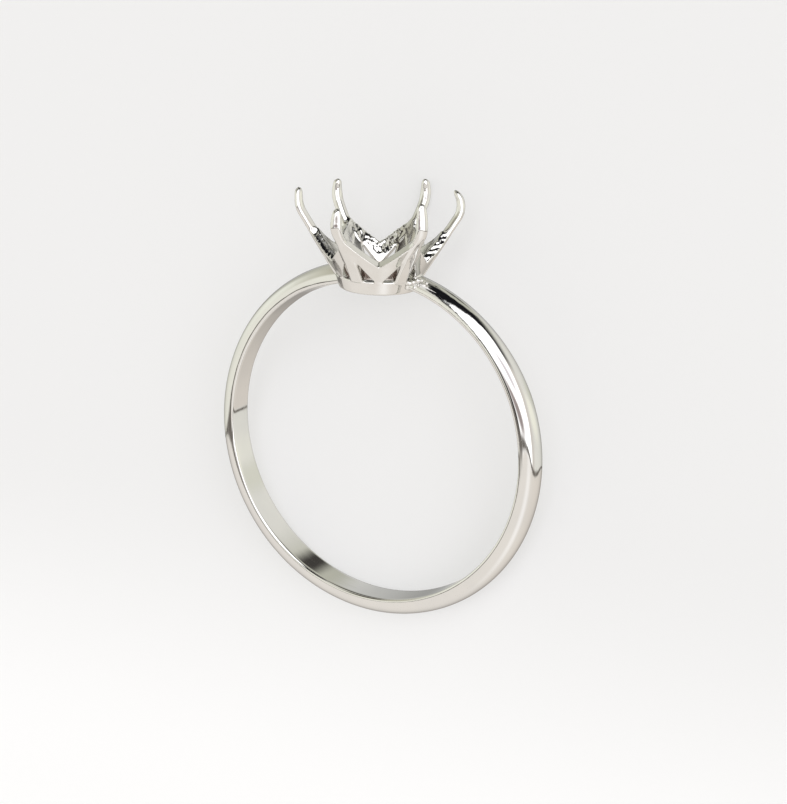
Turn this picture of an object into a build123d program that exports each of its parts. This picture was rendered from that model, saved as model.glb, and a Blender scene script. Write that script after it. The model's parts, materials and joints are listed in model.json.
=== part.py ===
from build123d import *
from math import asin, cos, degrees, hypot, radians, sin, tan
import os

# A six-claw solitaire setting without its stone, in millimetres. It is made in its own upright frame,
# with the finger hole's centre as origin, +X across, -Y to the front and +Z up to the head, and laid on
# its side at the end, as it rests by itself: on its lowest claw and the edge of the band's base.

# the finger band, a half oval over low straight sides, with its full section at the base
finger_diameter = 17.3
band_width_base = 1.75
band_width_head = 1.35
band_thick_base = 1.0
band_thick_head = 0.85
band_side = 0.18
band_edge_round = 0.12

# the collar, the low ring that carries the head; its foot dips a little into the finger hole
collar_dip = 0.5
collar_height = 0.75
collar_foot_radius = 2.05
collar_top_radius = 2.28
collar_wall = 0.6
collar_foot_round = 0.1

# the crown, a flared wall cut into V shaped gallery rails between the claws
claw_count = 6
lean = 31.8
crown_wall = 0.46
rail_depth = 1.04
rail_rise = 36.0
window_rise = 50.7
rail_post = 0.44

# the claws, each a bar that leans with the wall, bends upright and hooks in over the stone; its inner
# and outer faces bend with the same radius, so that it thins towards its slanted tip
claw_width = 0.7
claw_thick = 0.58
claw_proud = 0.06
claw_round = 0.16
claw_tip_round = 0.18
claw_sunk = 0.1
claw_straight = 3.8
claw_bend_radius = 1.15
claw_hook = 16.0

finger_radius = finger_diameter / 2
collar_foot = finger_radius - collar_dip
collar_top = collar_foot + collar_height
half_gallery = 180 / claw_count
lean_out = sin(radians(lean))
lean_up = cos(radians(lean))
slope = lean_out / lean_up
head_axis = Axis.Z

# the surface inside the head's walls at which the band's ends stop
seat_foot = collar_foot_radius - collar_wall / 2
seat_top = collar_top_radius - crown_wall / 2
seat_height = collar_top + band_thick_head

# the band: half a turn is lofted from the base to the head, and then mirrored
band_end = 180 - degrees(asin(seat_foot / 2 / finger_radius))
band_stations = (
    # share of the way to the band's end, share of the change to the head's size
    (0.0, 0.0),
    (0.2, 0.1),
    (0.4, 0.35),
    (0.57, 0.6),
    (0.74, 0.85),
    (0.87, 0.97),
    (1.0, 1.0),
)
inner_excess = band_thick_head / 2

with BuildPart() as band:
    for way, share in band_stations:
        width = band_width_base + (band_width_head - band_width_base) * share
        thick = band_thick_base + (band_thick_head - band_thick_base) * share
        turn = radians(band_end * way - 90)
        outward = Vector(cos(turn), 0, sin(turn))
        with BuildSketch(Plane(origin=outward * finger_radius, x_dir=outward, z_dir=(sin(turn), 0, -cos(turn)))):
            with BuildLine():
                oval = EllipticalCenterArc(
                    (band_side, 0), thick - band_side, width / 2, start_angle=-90, arc_size=180
                )
                Polyline(oval @ 1, (-inner_excess, width / 2), (-inner_excess, -width / 2), oval @ 0)
            make_face()
    loft()
    mirror(about=Plane.YZ)
    with BuildSketch(Plane.XZ):
        Circle(finger_radius)
    extrude(amount=band_width_base, both=True, mode=Mode.SUBTRACT)
    fillet(band.faces().filter_by(GeomType.CYLINDER).edges(), radius=band_edge_round)
    with BuildSketch(Plane.XZ):
        with BuildLine():
            Polyline(
                (0, 0),
                (seat_foot, 0),
                (seat_foot, collar_foot),
                (seat_top, collar_top),
                (seat_top + slope * (seat_height - collar_top), seat_height),
                (0, seat_height),
                close=True,
            )
        make_face()
    revolve(axis=head_axis, mode=Mode.SUBTRACT)

# the head's base: a short tube, a little wider at its top
with BuildPart() as collar:
    with BuildSketch(Plane.XZ):
        with BuildLine():
            Polyline(
                (collar_foot_radius - collar_wall, collar_foot),
                (collar_foot_radius, collar_foot),
                (collar_top_radius, collar_top),
                (collar_top_radius - collar_wall, collar_top),
                close=True,
            )
        make_face()
    revolve(axis=head_axis)
    foot_edges = collar.edges().filter_by(GeomType.CIRCLE).group_by(head_axis)[0]
    fillet(foot_edges, radius=collar_foot_round)


def meets_claw(height, rise):
    """How far up the wall a line of a gallery's plane, which starts at that height, meets a claw's middle."""
    half = radians(half_gallery)
    start = height + collar_top_radius * (rise * sin(half) + (1 - cos(half)) * lean_out)
    return start / (lean_out**2 * cos(half) + lean_up**2 - rise * lean_out * sin(half))


def on_claw(run):
    """Where a claw's middle lies in a gallery's plane, a run up the wall from the collar."""
    half = radians(half_gallery)
    radius = collar_top_radius + run * lean_out
    return radius * sin(half), (radius * cos(half) - collar_top_radius) * lean_out + run * lean_up**2


# the crown: each gallery is cut square through the wall, from a plane that touches the wall outside.
# A notch leaves the rails' upper edges, and a window on both sides of the post their lower ones.
rail_slope = tan(radians(rail_rise))
window_slope = tan(radians(window_rise))
rail_top = meets_claw(rail_depth, rail_slope)
window_top = meets_claw(-window_slope * rail_post / 2, window_slope)
notch_reach = 2 * on_claw(rail_top)[0]
crown_inside = collar_top_radius - crown_wall / lean_up

with BuildPart() as crown:
    with BuildSketch(Plane.XZ):
        with BuildLine():
            Polyline(
                (crown_inside, collar_top),
                (collar_top_radius, collar_top),
                (collar_top_radius + lean_out * rail_top, collar_top + lean_up * rail_top),
                (crown_inside + lean_out * rail_top, collar_top + lean_up * rail_top),
                close=True,
            )
        make_face()
    revolve(axis=head_axis)
    for number in range(claw_count):
        turn = radians(2 * half_gallery * number)
        gallery = Plane(
            origin=(collar_top_radius * cos(turn), collar_top_radius * sin(turn), collar_top),
            x_dir=(-sin(turn), cos(turn), 0),
            z_dir=(lean_up * cos(turn), lean_up * sin(turn), -lean_out),
        )
        with BuildSketch(gallery):
            with BuildLine():
                Polyline(
                    (0, rail_depth),
                    (notch_reach, rail_depth + notch_reach * rail_slope),
                    (-notch_reach, rail_depth + notch_reach * rail_slope),
                    close=True,
                )
            make_face()
            for side in (-1, 1):
                with BuildLine():
                    Polyline(
                        (side * rail_post / 2, -crown_wall),
                        (side * rail_post / 2, 0),
                        (side * on_claw(window_top)[0], on_claw(window_top)[1]),
                        (side * on_claw(0)[0], -crown_wall),
                        close=True,
                    )
                make_face()
        extrude(amount=-collar_top_radius, mode=Mode.SUBTRACT)

# one claw at the front, drawn in its own upright plane as distance from the head's axis and height:
# a straight run from inside the collar, then one arc to the tip
claw_way = Vector(lean_out, lean_up)
claw_inward = Vector(-lean_up, lean_out)
outer_foot = Vector(collar_top_radius + claw_proud / lean_up, collar_top) - claw_way * claw_sunk
outer_bend = outer_foot + claw_way * claw_straight

with BuildPart() as claw:
    with BuildSketch(Plane(origin=(0, 0, 0), x_dir=(0, -1, 0), z_dir=(-1, 0, 0))) as claw_side:
        with BuildLine():
            for foot in (outer_foot, outer_foot + claw_inward * claw_thick):
                bend = foot + claw_way * claw_straight
                Line(foot, bend)
                JernArc(bend, claw_way, claw_bend_radius, lean + claw_hook)
            outer_arc, inner_arc = edges().filter_by(GeomType.CIRCLE)
            Line(outer_arc @ 1, inner_arc @ 1)
            Line(outer_foot, outer_foot + claw_inward * claw_thick)
        make_face()
        by_height = claw_side.vertices().sort_by(Axis.Y)
        fillet(by_height[:2] + by_height[-2:], radius=claw_tip_round)
    extrude(amount=claw_width / 2, both=True)
    fillet(claw.faces().filter_by(Axis.X).edges(), radius=claw_round)

with BuildPart() as claws:
    with PolarLocations(0, claw_count):
        add(claw.part)

# the whole ring is soldered into one piece
with BuildPart() as upright_ring:
    add(band.part)
    add(collar.part)
    add(crown.part)
    add(claws.part)

# how it lies: its back faces down, and the head's axis rises from the floor by the tilt at which the
# lowest claw and the base's edge both touch
bend_centre = outer_bend + claw_inward * claw_bend_radius


def claw_drop(tilt):
    """How far the lowest claw reaches below the finger hole's centre."""
    return bend_centre.X * cos(tilt) - bend_centre.Y * sin(tilt) + claw_bend_radius


def base_drop(tilt):
    """How far the band's base reaches below the finger hole's centre."""
    oval = hypot((band_thick_base - band_side) * sin(tilt), band_width_base / 2 * cos(tilt))
    return (finger_radius + band_side) * sin(tilt) + oval


# halving a range that holds the tilt
low, high = 0.0, radians(45)
while high - low > 1e-9:
    tilt = (low + high) / 2
    if claw_drop(tilt) > base_drop(tilt):
        low = tilt
    else:
        high = tilt

across = (1, 0, 0)
to_head = (0, cos(tilt), sin(tilt))
with BuildPart(Plane(origin=(0, 0, 0), x_dir=across, z_dir=to_head)) as lying:
    add(upright_ring.part)
box = lying.part.bounding_box()

# the finished ring has the middle of its box's underside as origin
with BuildPart(Plane(origin=(0, -box.center().Y, -box.min.Z), x_dir=across, z_dir=to_head)) as ring_setting:
    add(upright_ring.part)
ring_setting.part.label = "ring_setting"

os.makedirs("parts", exist_ok=True)
export_step(ring_setting.part, "parts/ring_setting.step")
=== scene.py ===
import json
import math

import bpy
import numpy as np
from mathutils import Matrix, Vector


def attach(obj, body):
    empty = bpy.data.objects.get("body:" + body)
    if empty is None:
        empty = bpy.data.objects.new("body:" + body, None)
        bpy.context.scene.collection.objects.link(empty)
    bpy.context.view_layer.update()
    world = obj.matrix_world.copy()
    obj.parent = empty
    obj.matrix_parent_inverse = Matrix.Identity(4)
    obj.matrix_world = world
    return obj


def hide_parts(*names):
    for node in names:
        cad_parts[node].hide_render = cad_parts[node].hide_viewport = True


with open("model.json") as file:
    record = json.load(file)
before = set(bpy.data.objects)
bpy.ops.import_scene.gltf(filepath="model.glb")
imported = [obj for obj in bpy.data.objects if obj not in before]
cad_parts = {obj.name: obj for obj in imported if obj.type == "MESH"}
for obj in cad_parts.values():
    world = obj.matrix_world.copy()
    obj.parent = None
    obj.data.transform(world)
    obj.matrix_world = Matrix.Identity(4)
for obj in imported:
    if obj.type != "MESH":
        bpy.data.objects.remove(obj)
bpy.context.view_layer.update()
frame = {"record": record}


# How the ring lies
# The ring is worked out upright and in millimetres, with the finger hole's centre as origin, +X across,
# -Y to the front and +Z up to the head. The frame's mounts say where that upright frame is.
MM = 0.001
mounts = {mount["name"]: mount for mount in frame["record"]["mounts"]}
ring_centre = Vector(mounts["finger_hole"]["pos_m"])
to_head = Vector(mounts["stone_seat"]["axis"]).normalized()
across = Vector((1, 0, 0))
to_back = to_head.cross(across)
lying = Matrix((across, to_back, to_head)).transposed()
laid = Matrix.Translation(ring_centre) @ lying.to_4x4() @ Matrix.Scale(MM, 4)


# The camera
# It keeps the angle from which the upright ring is seen, so it looks down at the lying one. Its angles are
# in degrees, its distance and shifts in millimetres, and its focal length in pixels of the picture.
view_azimuth = 30.25
view_elevation = 15.13
view_roll = 0.70
view_distance = 123.6
view_right = 0.829
view_up = 1.877
focal_pixels = 2348.6
photo_width = 787
nearest_seen = 10.0


def direction(azimuth, elevation):
    """The upright frame's direction to a place this far round from the front and up, in degrees."""
    a = math.radians(azimuth)
    e = math.radians(elevation)
    return Vector((math.sin(a) * math.cos(e), -math.cos(a) * math.cos(e), math.sin(e)))


toward = direction(view_azimuth, view_elevation)
turned = Matrix.Rotation(math.radians(-view_roll), 3, toward)
right = turned @ direction(view_azimuth + 90, 0)
up = toward.cross(right)
camera = bpy.data.objects.new("camera", bpy.data.cameras.new("camera"))
camera.data.sensor_fit = "HORIZONTAL"
camera.data.lens = focal_pixels / photo_width * camera.data.sensor_width
camera.data.clip_start = nearest_seen * MM
eye = toward * view_distance + right * view_right + up * view_up
camera.matrix_world = Matrix.LocRotScale(
    laid @ eye, lying @ Matrix((right, up, toward)).transposed(), Vector((1, 1, 1))
)
bpy.context.scene.collection.objects.link(camera)
bpy.context.scene.camera = camera


# The finger band
# One strip of half-oval silver, flat inside and domed outside, bent round and soldered to the head. It is
# widest and thickest at its base, slims towards the head, and was hammered a little flat at both joints.
finger_radius = 8.65
base_width = 1.75
head_width = 1.35
base_thickness = 1.0
head_thickness = 0.85
side_height = 0.18
edge_round = 0.12
band_end = 168.0
seat_radius = 1.78
seat_flare = 0.3
seat_run = 0.1
head_shift = 0.2
slimming = (
    # share of the way round to the head, share of the change to the head's size
    (0.0, 0.0),
    (0.2, 0.1),
    (0.4, 0.35),
    (0.57, 0.6),
    (0.74, 0.85),
    (0.87, 0.97),
    (1.0, 1.0),
)
bends = (
    # degrees round from the base with left below 0, how far the inside and the outside stand out from the
    # true ring, and how far the front edge stands out and the back edge in
    (-172, -0.30, -0.06, 0.05),
    (-163, -0.27, 0.00, 0.08),
    (-150, -0.10, 0.00, 0.08),
    (-135, -0.03, 0.00, 0.06),
    (-110, 0.00, 0.00, 0.00),
    (110, 0.00, 0.00, 0.00),
    (130, 0.00, -0.08, 0.00),
    (150, 0.00, -0.16, 0.00),
    (172, -0.02, -0.18, 0.00),
)
slim_way, slim_share = np.array(slimming).T
bend_angle, bend_inside, bend_outside, bend_twist = np.array(bends).T


def strip_size(angle):
    """Width, thickness, height of the inside over the true ring, and twist, at degrees from the base."""
    share = np.interp(np.abs(angle) / 180, slim_way, slim_share)
    inside = np.interp(angle, bend_angle, bend_inside)
    outside = np.interp(angle, bend_angle, bend_outside)
    twist = np.interp(angle, bend_angle, bend_twist)
    width = base_width + (head_width - base_width) * share
    thickness = base_thickness + (head_thickness - base_thickness) * share + outside - inside
    return width, thickness, inside, twist


def strip_section(width, thickness, oval_steps=40, corner_steps=5, flat_steps=14):
    """Outline of the strip, as columns of height over its flat inside and distance from its middle."""
    t = np.linspace(-np.pi / 2, np.pi / 2, oval_steps)
    oval = np.stack([side_height + (thickness - side_height) * np.cos(t), width / 2 * np.sin(t)], 1)
    c = np.linspace(0, np.pi / 2, corner_steps)
    corner = np.stack([edge_round * (1 - np.sin(c)), width / 2 - edge_round * (1 - np.cos(c))], 1)
    flat = np.linspace(1, -1, flat_steps)[1:-1] * (width / 2 - edge_round)
    inside = np.stack([np.zeros_like(flat), flat], 1)
    return np.concatenate([oval, corner, inside, (corner * (1, -1))[::-1]])


def bent_strip(stations=700):
    """Points and faces of the band, section by section round from one end to the other."""
    rings = []
    for share in np.linspace(-1, 1, stations):
        angle = share * band_end
        width, thickness, inside, twist = strip_size(angle)
        height, middle = strip_section(width, thickness).T
        radius = finger_radius + inside + height - twist * middle / (width / 2)
        # towards its ends each line along the strip is let out or taken in, to stop inside the collar's wall
        seat = np.sqrt(seat_radius**2 - middle**2) + np.maximum(height, 0) * seat_flare
        end = 180 - np.degrees(np.arcsin((seat + math.copysign(head_shift, angle)) / radius))
        stretch = max(abs(share) - 1 + seat_run, 0) / seat_run
        a = np.radians(angle + math.copysign(1, angle) * (end - band_end) * stretch)
        rings.append(np.stack([radius * np.sin(a), middle, -radius * np.cos(a)], 1))
    count = len(rings[0])
    row, column = np.meshgrid(np.arange(stations - 1), np.arange(count), indexing="ij")
    near = row * count + column
    beside = row * count + (column + 1) % count
    faces = np.stack([near, near + count, beside + count, beside], -1).reshape(-1, 4).tolist()
    last = (stations - 1) * count
    faces.append(list(range(count)))
    faces.append(list(range(last, last + count))[::-1])
    return np.concatenate(rings), faces


class Sock:
    """A node's socket that can be used in Python expressions: each operator adds its Math node."""

    def __init__(self, tree, socket):
        self.tree = tree
        self.socket = socket

    @classmethod
    def made(cls, tree, kind, settings=None, values=None, output=0):
        """Adds a node of a type, with its settings first and then its sockets' values or links."""
        node = tree.nodes.new("ShaderNode" + kind)
        for name, setting in (settings or {}).items():
            if name == "points":
                line = node.mapping.curves[0].points
                line[0].location = setting[0]
                line[1].location = setting[-1]
                for point in setting[1:-1]:
                    line.new(*point)
                node.mapping.update()
            else:
                setattr(node, name, setting)
        for place, value in (values or {}).items():
            if isinstance(value, Sock):
                tree.links.new(value.socket, node.inputs[place])
            else:
                node.inputs[place].default_value = value
        return cls(tree, node.outputs[output])

    def maths(self, operation, *values):
        return Sock.made(self.tree, "Math", {"operation": operation}, dict(enumerate(values)))

    def __add__(self, other):
        return self.maths("ADD", self, other)

    def __radd__(self, other):
        return self.maths("ADD", other, self)

    def __sub__(self, other):
        return self.maths("SUBTRACT", self, other)

    def __rsub__(self, other):
        return self.maths("SUBTRACT", other, self)

    def __mul__(self, other):
        return self.maths("MULTIPLY", self, other)

    def __rmul__(self, other):
        return self.maths("MULTIPLY", other, self)

    def __truediv__(self, other):
        return self.maths("DIVIDE", self, other)

    def __rtruediv__(self, other):
        return self.maths("DIVIDE", other, self)

    def root(self):
        return self.maths("SQRT", self)

    def turn_from(self, other):
        """The angle whose tangent is this over the other, all the way round."""
        return self.maths("ARCTAN2", self, other)

    def dot(self, vector):
        """How far this vector reaches along another."""
        values = {0: self, 1: vector}
        return Sock.made(self.tree, "VectorMath", {"operation": "DOT_PRODUCT"}, values, "Value")

    def over(self, start, end):
        """0 before the start and 1 past the end, with a soft change."""
        limits = {"Value": self, "From Min": start, "From Max": end}
        return Sock.made(self.tree, "MapRange", {"interpolation_type": "SMOOTHSTEP"}, limits, "Result")

    def mixed(self, below, above):
        """The lower colour where this is 0 and the upper one where it is 1."""
        colours = [colour if isinstance(colour, Sock) else (*colour, 1) for colour in (below, above)]
        values = {"Factor": self, "A": colours[0], "B": colours[1]}
        return Sock.made(self.tree, "Mix", {"data_type": "RGBA"}, values, "Result")


def upright_place(tree):
    """The upright ring's X, Y and Z of a place on the metal, in millimetres."""
    place = Sock.made(tree, "TexCoord", output="Object")
    return [(place.dot(axis) - ring_centre.dot(axis)) / MM for axis in (across, to_back, to_head)]


def speckle(tree, x, y, z, scale, detail=2.0):
    """Soft random values round 0.5, so many to a millimetre along each way."""
    place = Sock.made(tree, "CombineXYZ", values={0: x, 1: y, 2: z})
    values = {"Vector": place, "Scale": scale, "Detail": detail}
    return Sock.made(tree, "TexNoise", values=values, output="Fac")


def silver(name, grazing):
    """Polished silver plated with rhodium, and its principled shader. The grazing shade darkens its rims."""
    material = bpy.data.materials.new(name)
    material.use_nodes = True
    shader = material.node_tree.nodes["Principled BSDF"]
    shader.inputs["Metallic"].default_value = 1.0
    shader.inputs["Specular Tint"].default_value = (grazing, grazing, grazing, 1)
    return material, shader


def feed(shader, name, value):
    """Links a value to a shader's socket."""
    value.tree.links.new(value.socket, shader.inputs[name])


def put(name, points, faces, material):
    """Adds a smooth mesh from points of the upright ring, laid down with it."""
    mesh = bpy.data.meshes.new(name)
    mesh.from_pydata(points.tolist(), [], faces)
    mesh.transform(laid)
    mesh.materials.append(material)
    mesh.polygons.foreach_set("use_smooth", [len(face) == 4 for face in faces])
    mesh.update()
    piece = bpy.data.objects.new(name, mesh)
    bpy.context.scene.collection.objects.link(piece)
    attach(piece, "root")
    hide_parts("ring_setting")


# the band was polished along its run, which leaves faint lines that way and a soft wave in its gloss; its
# right end is a little uneven from the hammer
buffed_shades = ((0.74, 0.735, 0.725), (0.765, 0.758, 0.742))
buffed_rim = 0.42
polish = 0.03
line_roughness = 0.07
wave_depth = 6e-6
line_depth = 0.10
hammer_depth = 1.2
hammer_start = 18.5
hammer_full = 21.5
buffed, buffed_shader = silver("buffed_silver", buffed_rim)
buffed_tree = buffed.node_tree
band_x, band_y, band_z = upright_place(buffed_tree)
band_run = band_x.turn_from(0 - band_z) * finger_radius
band_radius = (band_x * band_x + band_z * band_z).root()
wave = speckle(buffed_tree, band_run * 0.35, band_y, band_radius, 1.3)
lines = speckle(buffed_tree, band_run * 0.06, band_y, band_radius, 16, 3.0)
cloud = speckle(buffed_tree, band_run, band_y, band_radius, 0.6)
feed(buffed_shader, "Base Color", cloud.over(0.3, 0.7).mixed(*buffed_shades))
feed(buffed_shader, "Roughness", lines.over(0.35, 0.75) * line_roughness + polish)
hammered = speckle(buffed_tree, band_run * 0.5, band_y, band_radius, 5)
hammered = hammered * band_run.over(hammer_start, hammer_full)
relief = wave + lines * line_depth + hammered * hammer_depth
bump_values = {"Height": relief, "Distance": wave_depth, "Strength": 1.0}
feed(buffed_shader, "Normal", Sock.made(buffed_tree, "Bump", values=bump_values))

put("band", *bent_strip(), buffed)


# The collar
# A short tube of cast silver, a little wider at its top, which carries the rails and claws. The band is
# soldered against its sides, and its foot dips a little into the finger hole.
collar_foot = 8.15
collar_top = 8.9
collar_foot_radius = 2.05
collar_top_radius = 2.28
collar_wall = 0.6
collar_round = 0.1


def joined(a, b, soft):
    """The smaller of two distances, with a soft hollow where they are alike."""
    near = np.maximum(soft - np.abs(a - b), 0)
    return np.minimum(a, b) - near * near / (4 * soft)


def crossed(a, b, soft):
    """The larger of two distances, with a soft edge where they are alike."""
    return -joined(-a, -b, soft)


def rounded(a, b, radius):
    """The distance to where two forms cross, with round edges of this radius."""
    out = np.hypot(np.maximum(a + radius, 0), np.maximum(b + radius, 0))
    return np.minimum(np.maximum(a, b) + radius, 0) + out - radius


def collar_form(x, y, z):
    """Distance to the collar, below 0 inside its metal."""
    half_height = (collar_top - collar_foot) / 2
    over_middle = z - (collar_top + collar_foot) / 2
    middle_radius = (collar_foot_radius + collar_top_radius - collar_wall) / 2
    flare = (collar_top_radius - collar_foot_radius) / (collar_top - collar_foot)
    wall = np.abs(np.hypot(x, y) - middle_radius - flare * over_middle) - collar_wall / 2
    return rounded(wall, np.abs(over_middle) - half_height, collar_round)


# The gallery rails
# A flared silver wall between the claws, sawn out into V shaped rails with a window on both sides of each
# post. The front was filed smooth. Elsewhere the rails' upper ends are left rough, at the back on their
# inside too.
lean = math.radians(31.8)
crown_wall = 0.46
rail_depth = 1.04
rail_rise = math.radians(36)
window_rise = math.radians(50.7)
rail_post = 0.44
rail_edge = 0.05
rail_corner = 0.06
crown_sunk = 0.1
gallery_angle = math.radians(60)
front_gallery = math.radians(30)
filed_start = 1.4
filed_full = 2.2
back_start = -0.80
back_full = -0.87
sawn_coarse = 0.03
coarse_lumps = 0.15
sawn_fine = 0.016
fine_lumps = 0.09
rough_reach = 0.1
rough_depth = 0.6
rough_fade = 0.1
rough_slant = 0.08
rough_sides = (
    # place across the head from left to right, as a share of its radius, and share of the roughness there
    (-0.9, 0.35),
    (-0.6, 1.0),
    (0.6, 1.0),
    (0.9, 0.7),
)
side_place, side_rough = np.array(rough_sides).T
lattice = np.random.default_rng(7).uniform(-1, 1, (32, 32, 32))


def eased(value, start, end):
    """0 before the start and 1 past the end, with a soft change."""
    share = np.clip((value - start) / (end - start), 0, 1)
    return share * share * (3 - 2 * share)


def lumps(x, y, z, size):
    """Soft random lumps of about this size, from -1 to 1."""
    place = [np.asarray(v) / size + 100 for v in (x, y, z)]
    cell = [np.floor(v).astype(int) for v in place]
    share = [eased(v, c, c + 1) for v, c in zip(place, cell)]
    total = 0
    for corner in np.ndindex(2, 2, 2):
        weight = 1
        for s, n in zip(share, corner):
            weight = weight * (s if n else 1 - s)
        total = total + weight * lattice[tuple((c + n) % 32 for c, n in zip(cell, corner))]
    return total


def crown_form(x, y, z):
    """Distance to the gallery rails."""
    rho = np.hypot(x, y)
    off = np.arctan2(x, -y) % gallery_angle - gallery_angle / 2
    over = z - collar_top
    inward = -(rho - collar_top_radius) * np.cos(lean) + over * np.sin(lean)
    wall = np.abs(inward - crown_wall / 2) - crown_wall / 2
    sideways = np.abs(rho * np.sin(off))
    height = (rho * np.cos(off) - collar_top_radius) * np.sin(lean) + over * np.cos(lean)
    top = (height - rail_depth) * np.cos(rail_rise) - sideways * np.sin(rail_rise)
    window = (sideways - rail_post / 2) * np.sin(window_rise) - height * np.cos(window_rise)

    # lumps are worked out only near the rough faces
    front = x * np.sin(front_gallery) - y * np.cos(front_gallery)
    at_back = (front < back_start * rho) & (inward > crown_wall / 2) & (top < rough_reach)
    near = (np.maximum(np.abs(top), wall) < rough_reach) | (at_back & (wall < rough_reach))
    rough = np.zeros_like(top)
    place = (x[near], y[near], z[near])
    rough[near] = sawn_coarse * lumps(*place, coarse_lumps) + sawn_fine * lumps(*place, fine_lumps)
    filed = np.maximum(1 + top / rough_depth, 0) * rough_slant
    inner_rough = rough * eased(-top, rough_depth + rough_fade, rough_depth) + filed
    wall = wall + inner_rough * at_back * eased(front / rho, back_start, back_full)
    from_middle = (x * np.cos(front_gallery) + y * np.sin(front_gallery)) / rho
    kept_rough = eased(front, filed_full, filed_start) * np.interp(from_middle, side_place, side_rough)
    top = top + rough * kept_rough
    form = rounded(wall, crossed(top, window, rail_corner), rail_edge)
    return np.maximum(form, collar_top - crown_sunk - z)


# The claws
# Six silver bars, cast on the wall and leaning out with it, which bend upright and hook in over the place of
# the stone. They thin towards rounded tips, and each has been pushed about a little at the bench.
claw_thickness = 0.54
claw_bend_thickness = 0.47
claw_width = 0.72
claw_bend_width = 0.68
claw_thins_from = 0.8
claw_thins_to = 2.8
tip_thins = 0.05
tip_thins_over = 1.2
tip_narrows = 0.2
tip_narrows_over = 1.0
tip_run_on = 0.2
tip_round = 0.3
tip_cut_in = 0.15
claw_round = 0.14
claw_dome = 0.5
dome_sunk = 0.2
dome_edge = 0.06
claw_taper = math.radians(12)
claw_proud = 0.06
claw_sunk = 0.1
claw_foot_round = 0.1
push_start = 9.6
push_full = 12.2
side_lean_start = 10
twist_start = 2.0
twist_full = 3.4
claws = (
    # degrees round from the front, straight run, bend radius, hook, run past the bend, pushed sideways,
    # pushed out, slope of the tip's cut, and degrees that it is twisted and leans sideways
    (0, 2.9, 1.2, 8, 0.78, -0.36, 0.0, 10, 18, 0),
    (60, 2.9, 1.2, 8, 1.15, 0.25, 0.0, 10, -20, 0),
    (120, 3.37, 1.3, 24, 0.38, 0.0, 0.09, 45, 0, 10),
    (180, 3.5, 1.5, 8, 0.45, -0.30, 0.0, 10, 0, 0),
    (240, 3.4, 1.5, 8, 0.42, 0.24, 0.10, 10, 0, 0),
    (300, 3.5, 1.5, -1, 0.62, 0.0, 0.07, 10, 0, -8),
)


def claw_form(x, y, z, around, straight, bend_radius, hook, end, sideways, out, cut, twist, side_lean):
    """Distance to one claw, worked out in its own plane as distance from the head's axis and height."""
    a = math.radians(around)
    pushed = eased(z, push_start, push_full)
    u = x * math.sin(a) - y * math.cos(a) - out * pushed
    aside = x * math.cos(a) + y * math.sin(a) - sideways * pushed
    aside = aside - math.tan(math.radians(side_lean)) * np.maximum(z - side_lean_start, 0)
    turn = lean + math.radians(hook)
    way = np.array((math.sin(lean), math.cos(lean)))
    outward = np.array((math.cos(lean), -math.sin(lean)))
    tip_way = np.array((-math.sin(turn - lean), math.cos(turn - lean)))
    tip_out = np.array((math.cos(turn - lean), math.sin(turn - lean)))
    root = np.array((collar_top_radius + claw_proud / math.cos(lean), collar_top)) - way * claw_sunk
    bend = root + way * straight
    centre = bend - outward * bend_radius
    top = centre + tip_out * bend_radius

    def along(start, run_way):
        return (u - start[0]) * run_way[0] + (z - start[1]) * run_way[1]

    before = along(bend, way) < 0
    beyond = (along(top, tip_way) > 0) & ~before
    angle = np.clip(np.arctan2(z - centre[1], u - centre[0]) + lean, 0, turn)
    run = np.where(before, along(root, way), straight + bend_radius * angle)
    run = np.where(beyond, straight + bend_radius * turn + along(top, tip_way), run)
    off = np.where(before, along(root, outward), np.hypot(u - centre[0], z - centre[1]) - bend_radius)
    off = np.where(beyond, along(top, tip_out), off)
    length = straight + bend_radius * turn + end
    near_tip = eased(run, length - tip_thins_over, length)
    thinned = eased(run, claw_thins_from, claw_thins_to)
    thick = claw_thickness - (claw_thickness - claw_bend_thickness) * thinned - tip_thins * near_tip
    wide = claw_width - (claw_width - claw_bend_width) * thinned
    wide = wide - tip_narrows * eased(run, length - tip_narrows_over, length + tip_run_on)
    edges = claw_round + (claw_bend_thickness / 2 - claw_round) * thinned - tip_thins / 2 * near_tip

    # the section is twisted, tapers inwards and is domed outside, all past the lower run
    a = math.radians(twist) * eased(run, twist_start, twist_full)
    over_middle = off + thick / 2
    off = over_middle * np.cos(a) + aside * np.sin(a) - thick / 2
    aside = aside * np.cos(a) - over_middle * np.sin(a)
    a = claw_taper * thinned
    side = (np.abs(aside) - wide / 2 - off * np.tan(a)) * np.cos(a)
    form = rounded(np.abs(off + thick / 2) - thick / 2, side, edges)
    dome = np.hypot(aside, off + claw_dome) - claw_dome - dome_sunk * (1 - thinned)
    form = crossed(form, dome, dome_edge)
    cut_at = top + tip_way * end - tip_out * tip_cut_in
    slope = math.radians(cut - hook)
    form = crossed(form, along(cut_at, (math.sin(slope), math.cos(slope))), tip_round)
    return crossed(form, -run, claw_foot_round)


# The joints
# The band's two ends are held against the collar with silver solder. The left joint was filed clean, and
# the right one has kept some small lumps of solder at its front.
seat_top_radius = 2.05
joint_start = 158.0
joint_sunk = 0.025
solder = (
    # places on the upright ring, and radius
    (2.45, -0.72, 8.66, 0.09),
    (2.60, -0.62, 8.72, 0.13),
    (2.82, -0.56, 8.82, 0.14),
    (3.04, -0.50, 8.84, 0.09),
    (2.70, -0.66, 8.47, 0.10),
    (2.90, -0.62, 8.60, 0.08),
    (3.32, -0.50, 8.72, 0.09),
)


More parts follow.
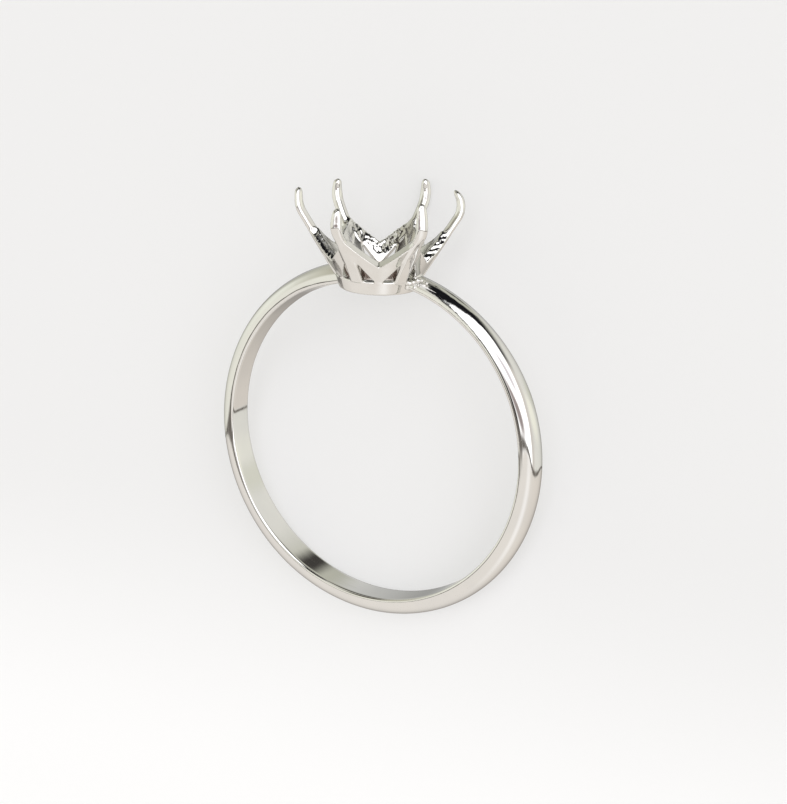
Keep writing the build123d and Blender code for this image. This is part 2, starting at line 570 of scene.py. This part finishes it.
def joint_form(x, y, z):
    """Distance to the band's last stretch on either side, sunk just under the band's own surface."""
    angle = np.degrees(np.arctan2(x, -z))
    width, thickness, inside, twist = strip_size(angle)
    height = np.hypot(x, z) - finger_radius - inside + twist * y / (width / 2)
    tall = thickness - side_height
    over = np.maximum(height - side_height, 0)
    oval = np.maximum(np.hypot(over / tall, y / (width / 2)), 1e-6)
    steep = np.hypot(over / tall**2, y / (width / 2) ** 2) / oval
    dome = (oval - 1) / np.maximum(steep, 1e-6)
    form = rounded(dome, -height, edge_round)
    return np.maximum(form + joint_sunk, joint_start - np.abs(angle))


# The head
# Collar, rails and claws are one silver casting, plated with rhodium after the band was soldered on. It
# sits a little right of the middle and leans that way.
head_pivot = 8.5
head_lean = math.radians(2.5)
head_step = 0.05
head_low = (-5.0, -5.0, 8.0)
head_high = (5.2, 5.0, 13.6)
rail_blend = 0.08
claw_blend = 0.12
seat_edge = 0.05
solder_blend = 0.06
joint_blend = 0.22


def head_form(x, y, z):
    """Distance to the whole head with its joints."""
    c = math.cos(head_lean)
    s = math.sin(head_lean)
    hx = (x - head_shift) * c - (z - head_pivot) * s
    hz = (x - head_shift) * s + (z - head_pivot) * c + head_pivot
    form = joined(collar_form(hx, y, hz), crown_form(hx, y, hz), rail_blend)
    for claw in claws:
        form = joined(form, claw_form(hx, y, hz, *claw), claw_blend)
    rise = np.maximum(hz - collar_top, 0) * math.tan(lean)
    seat = np.where(hz < collar_top, seat_radius, seat_top_radius + rise)
    band_end_form = crossed(joint_form(x, y, z), seat - np.hypot(hx, y), seat_edge)
    for sx, sy, sz, radius in solder:
        ball = np.sqrt((x - sx) ** 2 + (y - sy) ** 2 + (z - sz) ** 2) - radius
        band_end_form = joined(band_end_form, ball, solder_blend)
    return joined(form, band_end_form, joint_blend)


def skinned(form, low, high, step, least_slope=0.3):
    """Points and four-sided faces of the surface where a form's distance is zero."""
    low = np.array(low, float)
    counts = np.ceil((np.array(high) - low) / step).astype(int) + 1
    value = form(*np.meshgrid(*[low[n] + step * np.arange(counts[n]) for n in range(3)], indexing="ij"))
    inside = value < 0
    corners = list(np.ndindex(2, 2, 2))
    filled = np.zeros(counts - 1, np.int8)
    for corner in corners:
        filled += inside[tuple(slice(c, n - 1 + c) for c, n in zip(corner, counts))]
    cells = np.argwhere((filled > 0) & (filled < 8))
    number = np.full(counts - 1, -1)
    number[tuple(cells.T)] = np.arange(len(cells))

    # each cell's point is the mean of where its edges cross the surface
    total = np.zeros((len(cells), 3))
    weight = np.zeros(len(cells))
    for corner in corners:
        for axis in range(3):
            if corner[axis]:
                continue
            a = value[tuple((cells + corner).T)]
            b = value[tuple((cells + corner + np.eye(3, dtype=int)[axis]).T)]
            cut = (a < 0) != (b < 0)
            place = np.tile(np.array(corner, float), (len(cells), 1))
            place[:, axis] = np.where(cut, a / np.where(cut, a - b, 1), 0)
            total[cut] += place[cut]
            weight += cut
    points = low + step * (cells + total / weight[:, None])

    # each crossed edge gives one face between its four cells
    faces = []
    for axis in range(3):
        one = np.eye(3, dtype=int)[(axis + 1) % 3]
        two = np.eye(3, dtype=int)[(axis + 2) % 3]
        start = np.argwhere(np.diff(inside.astype(np.int8), axis=axis) != 0)
        start = start[(start @ one > 0) & (start @ two > 0)]
        start = start[(start @ one < counts @ one - 1) & (start @ two < counts @ two - 1)]
        around = (start - one - two, start - two, start, start - one)
        quads = np.stack([number[tuple(cell.T)] for cell in around], 1)
        outward = inside[tuple(start.T)]
        faces.append(np.where(outward[:, None], quads, quads[:, ::-1]))

    # the points are moved onto the true surface
    nudge = np.eye(3) * step / 4
    for _ in range(3):
        slope = np.stack([form(*(points + n).T) - form(*(points - n).T) for n in nudge], 1) / (step / 2)
        steep = np.maximum((slope**2).sum(1), least_slope)
        points = points - (form(*points.T) / steep)[:, None] * slope
    return points, np.concatenate(faces).tolist()


# its outside and the rear gallery are polished. Elsewhere its inside keeps the duller, rougher skin of the
# casting, and near the collar that inside is painted dark brown as shade for the deep recess there.
cast_shades = ((0.74, 0.73, 0.71), (0.765, 0.758, 0.742))
# painted shade: the dark brown mixed into the colour of the inside near the collar, where the recess lies in
# shade
painted_recess_shade = (0.35, 0.27, 0.24)
inner_side = (-0.25, -0.42)
satin_below = (11.3, 10.8)
skin_and_shade_below = (9.25, 8.95)
polished_back = (-0.87, -0.78)
cast_rim = 0.55
pit_roughness = 0.08
skin_roughness = 0.22
satin_roughness = 0.2
cast_depth = 8e-6
pit_depth = 0.05
skin_depth = 0.8
cast, cast_shader = silver("cast_silver", cast_rim)
cast_tree = cast.node_tree
head_x, head_y, head_z = upright_place(cast_tree)
head_rho = ((head_x - head_shift) * (head_x - head_shift) + head_y * head_y).root()
off_wall = (head_rho - collar_top_radius) * math.cos(lean) - (head_z - collar_top) * math.sin(lean)
head_front = head_x * math.sin(front_gallery) - head_y * math.cos(front_gallery)
within = off_wall.over(*inner_side)
satin = within * head_z.over(*satin_below) * (head_front / head_rho).over(*polished_back)
# this mask marks the inside near the collar, which gets both the rougher cast skin and the painted shade
skin_and_recess_shade = within * head_z.over(*skin_and_shade_below)
pits = speckle(cast_tree, head_x, head_y, head_z, 9.0, 3.0)
soft = speckle(cast_tree, head_x, head_y, head_z, 1.6)
# the colour lays the painted shade of the recess near the collar over the random tones of the metal
feed(cast_shader, "Base Color", skin_and_recess_shade.mixed(soft.over(0.3, 0.7).mixed(*cast_shades), painted_recess_shade))
dullness = pits.over(0.3, 0.8) * pit_roughness + skin_and_recess_shade * skin_roughness + satin * satin_roughness
feed(cast_shader, "Roughness", dullness + polish)
cast_relief = soft + pits * pit_depth + skin_and_recess_shade * pits * skin_depth
cast_bump = {"Height": cast_relief, "Distance": cast_depth, "Strength": 1.0}
feed(cast_shader, "Normal", Sock.made(cast_tree, "Bump", values=cast_bump))

put("head", *skinned(head_form, head_low, head_high, head_step), cast)


# The floor
# A sheet of pale paper, far larger than the view. It glows a little itself, which keeps shadows on it soft,
# and the polished metal mirrors the room instead of it.
floor_half = 0.6
paper_shade = (0.42, 0.42, 0.43, 1)
paper_glow = 0.55
glow_near = (0.99, 0.99, 0.985)
glow_far = (0.78, 0.78, 0.775)
glow_fades_from = -0.024
glow_fades_to = -0.005
floor_mesh = bpy.data.meshes.new("floor")
floor_corners = [(x * floor_half, y * floor_half, 0) for x, y in ((-1, -1), (1, -1), (1, 1), (-1, 1))]
floor_mesh.from_pydata(floor_corners, [], [(0, 1, 2, 3)])
floor = bpy.data.objects.new("floor", floor_mesh)
bpy.context.scene.collection.objects.link(floor)
paper = bpy.data.materials.new("paper")
paper.use_nodes = True
paper_shader = paper.node_tree.nodes["Principled BSDF"]
paper_shader.inputs["Base Color"].default_value = paper_shade
paper_shader.inputs["Roughness"].default_value = 1.0
paper_shader.inputs["Specular IOR Level"].default_value = 0.0
paper_shader.inputs["Emission Strength"].default_value = paper_glow
floor_place = Sock.made(paper.node_tree, "TexCoord", output="Object")
farther = floor_place.dot((0, 1, 0)).over(glow_fades_from, glow_fades_to)
feed(paper_shader, "Emission Color", farther.mixed(glow_near, glow_far))
floor_mesh.materials.append(paper)
floor.visible_glossy = False


# The room's light
# Pale walls all round, a bright window, dark things beside it and a warm table top below. Each is drawn
# where a polished ball in the ring's place would show it, from -1 to 1 across and from -1 to 1 up.
world = bpy.data.worlds.new("room")
bpy.context.scene.world = world
world.use_nodes = True
room = world.node_tree


def unit_sum(tree, way, other):
    """The direction halfway between two."""
    total = Sock.made(tree, "VectorMath", {"operation": "ADD"}, {0: way, 1: other})
    return Sock.made(tree, "VectorMath", {"operation": "NORMALIZE"}, {0: total})


halfway = unit_sum(room, Sock.made(room, "TexCoord", output="Generated"), lying @ toward)
ball_x = halfway.dot(lying @ right)
ball_y = halfway.dot(lying @ up)


def line_over(way, *points):
    """A line drawn through a few points over one way of the ball, to compare with the other way."""
    drawn = [((a + 1) / 2, (b + 1) / 2) for a, b in points]
    return Sock.made(room, "FloatCurve", {"points": drawn}, {"Value": way * 0.5 + 0.5}) * 2 - 1


def spot(x, y, wide, high, soft, turn):
    """1 inside an oval of the ball and 0 outside."""
    c = math.cos(math.radians(turn))
    s = math.sin(math.radians(turn))
    a = ((ball_x - x) * c + (ball_y - y) * s) / wide
    b = ((ball_y - y) * c - (ball_x - x) * s) / high
    return 1 - (a * a + b * b).root().over(1 - soft, 1 + soft)


def with_things(light, things):
    """The light with each thing of a table painted over it."""
    for *place, shade in things:
        light = spot(*place).mixed(light, shade)
    return light


# the walls: pale at the right, greenish at the left, greyer towards the ceiling, and pale again far behind
right_wall = (0.93, 0.92, 0.86)
left_wall = (0.58, 0.56, 0.45)
far_left_wall = (1.08, 1.09, 0.98)
low_left_wall = (1.02, 1.01, 0.91)
ceiling = (0.64, 0.64, 0.55)
far_wall = (0.93, 0.93, 0.90)
wall_things = (
    # place across and up, half width, half height, softness, degrees turned, and shade
    (-0.37, 0.42, 0.07, 0.22, 0.4, -12, (0.07, 0.06, 0.055)),
    (0.66, 0.05, 0.16, 0.12, 0.6, 0, (1.10, 1.09, 0.96)),
    (0.82, 0.25, 0.10, 0.09, 0.6, 0, (0.84, 0.84, 0.74)),
    (-0.06, 0.80, 0.22, 0.12, 0.4, 0, (0.06, 0.055, 0.05)),
    (0.40, 0.77, 0.075, 0.03, 0.7, -36, (0.07, 0.065, 0.06)),
)
at_low_left = ball_y.over(0.14, 0.02) * ball_x.over(-0.2, -0.4)
overhead = ball_y.over(0.32, 0.6) * ball_x.over(0.64, 0.4)
far_behind = (ball_x * ball_x + ball_y * ball_y).over(0.80, 0.87) * ball_y.over(0.5, 0.7)
walls = ball_x.over(-0.25, -0.45).mixed(right_wall, left_wall)
walls = ball_x.over(-0.50, -0.72).mixed(walls, far_left_wall)
walls = at_low_left.mixed(walls, low_left_wall)
walls = overhead.mixed(walls, ceiling)
walls = far_behind.mixed(walls, far_wall)
walls = with_things(walls, wall_things)

# a dark curtain above the window, which ends in a narrow grey strip down its right side
curtain_top = line_over(
    ball_x,
    (-1, -1),
    (-0.36, -0.06),
    (-0.30, 0.12),
    (-0.22, 0.33),
    (-0.12, 0.52),
    (0.0, 0.62),
    (0.1, 0.73),
    (0.2, 0.73),
    (0.3, 0.67),
    (0.4, 0.65),
    (1, 0.5),
)
curtain_shade = (0.012, 0.012, 0.014)
strip_shade = (0.78, 0.73, 0.68)
strip_top = 0.28
curtain = (curtain_top - ball_y).over(-0.03, 0.03) * ball_x.over(0.56, 0.36)
strip = (strip_top - ball_y).over(-0.06, 0.06).mixed(curtain_shade, strip_shade)
room_light = curtain.mixed(walls, ball_x.over(0.22, 0.3).mixed(curtain_shade, strip))

# the window, with a faint thing in it and a dark sill
window_top = line_over(
    ball_x,
    (-1, -1),
    (-0.36, -0.14),
    (-0.29, 0.04),
    (-0.2, 0.22),
    (-0.1, 0.34),
    (0.0, 0.41),
    (0.1, 0.45),
    (0.25, 0.47),
    (0.35, 0.40),
    (1, 0.2),
)
daylight = (2.0, 2.0, 2.0)
window_things = (
    # place across and up, half width, half height, softness, degrees turned, and shade
    (0.07, 0.07, 0.10, 0.08, 0.5, 0, (0.92, 0.86, 0.90)),
    (-0.17, -0.15, 0.17, 0.055, 0.5, 0, (0.42, 0.36, 0.35)),
)
pane = (window_top - ball_y).over(-0.03, 0.03) * ball_x.over(0.37, 0.28) * ball_x.over(-0.36, -0.30)
room_light = with_things(pane.mixed(room_light, daylight), window_things)

# the table top, with its dark far edge, a bright streak on it and a small dark thing at the left
table_edge = line_over(
    ball_x,
    (-1, -0.15),
    (-0.5, -0.225),
    (0.08, -0.225),
    (0.38, -0.275),
    (0.67, -0.25),
    (0.92, -0.15),
    (1, -0.12),
)
edge_shade = (0.2, 0.18, 0.16)
edge_slims = 0.6
table_left = (0.97, 0.925, 0.87)
table_right = (0.90, 0.84, 0.77)
streak = (0.10, -0.42, 0.12, 0.24, 0.8, 0)
streak_shade = (1.16, 1.13, 1.10)
dark_thing = (-0.53, -0.198, 0.02, 0.026, 0.4, 0)
dark_thing_shade = (0.05, 0.04, 0.03)
under_edge = table_edge - ball_y
slim_edge = under_edge / (1 - (ball_x * ball_x).over(0.4, 0.9) * edge_slims)
dark_edge = slim_edge.over(-0.024, -0.004) * slim_edge.over(0.024, 0.004)
room_light = dark_edge.mixed(room_light, edge_shade)
table = ball_x.over(0.0, 0.7).mixed(table_left, table_right)
table = spot(*streak).mixed(table, streak_shade)
room_light = under_edge.over(0.006, 0.022).mixed(room_light, table)
room_light = spot(*dark_thing).mixed(room_light, dark_thing_shade)

# what is seen past the floor is a plain pale backdrop
backdrop_shade = (0.86, 0.86, 0.85)
backdrop = Sock.made(room, "LightPath", output="Is Camera Ray").mixed(room_light, backdrop_shade)
room.links.new(backdrop.socket, room.nodes["Background"].inputs["Color"])

bpy.context.scene.view_settings.view_transform = "Standard"
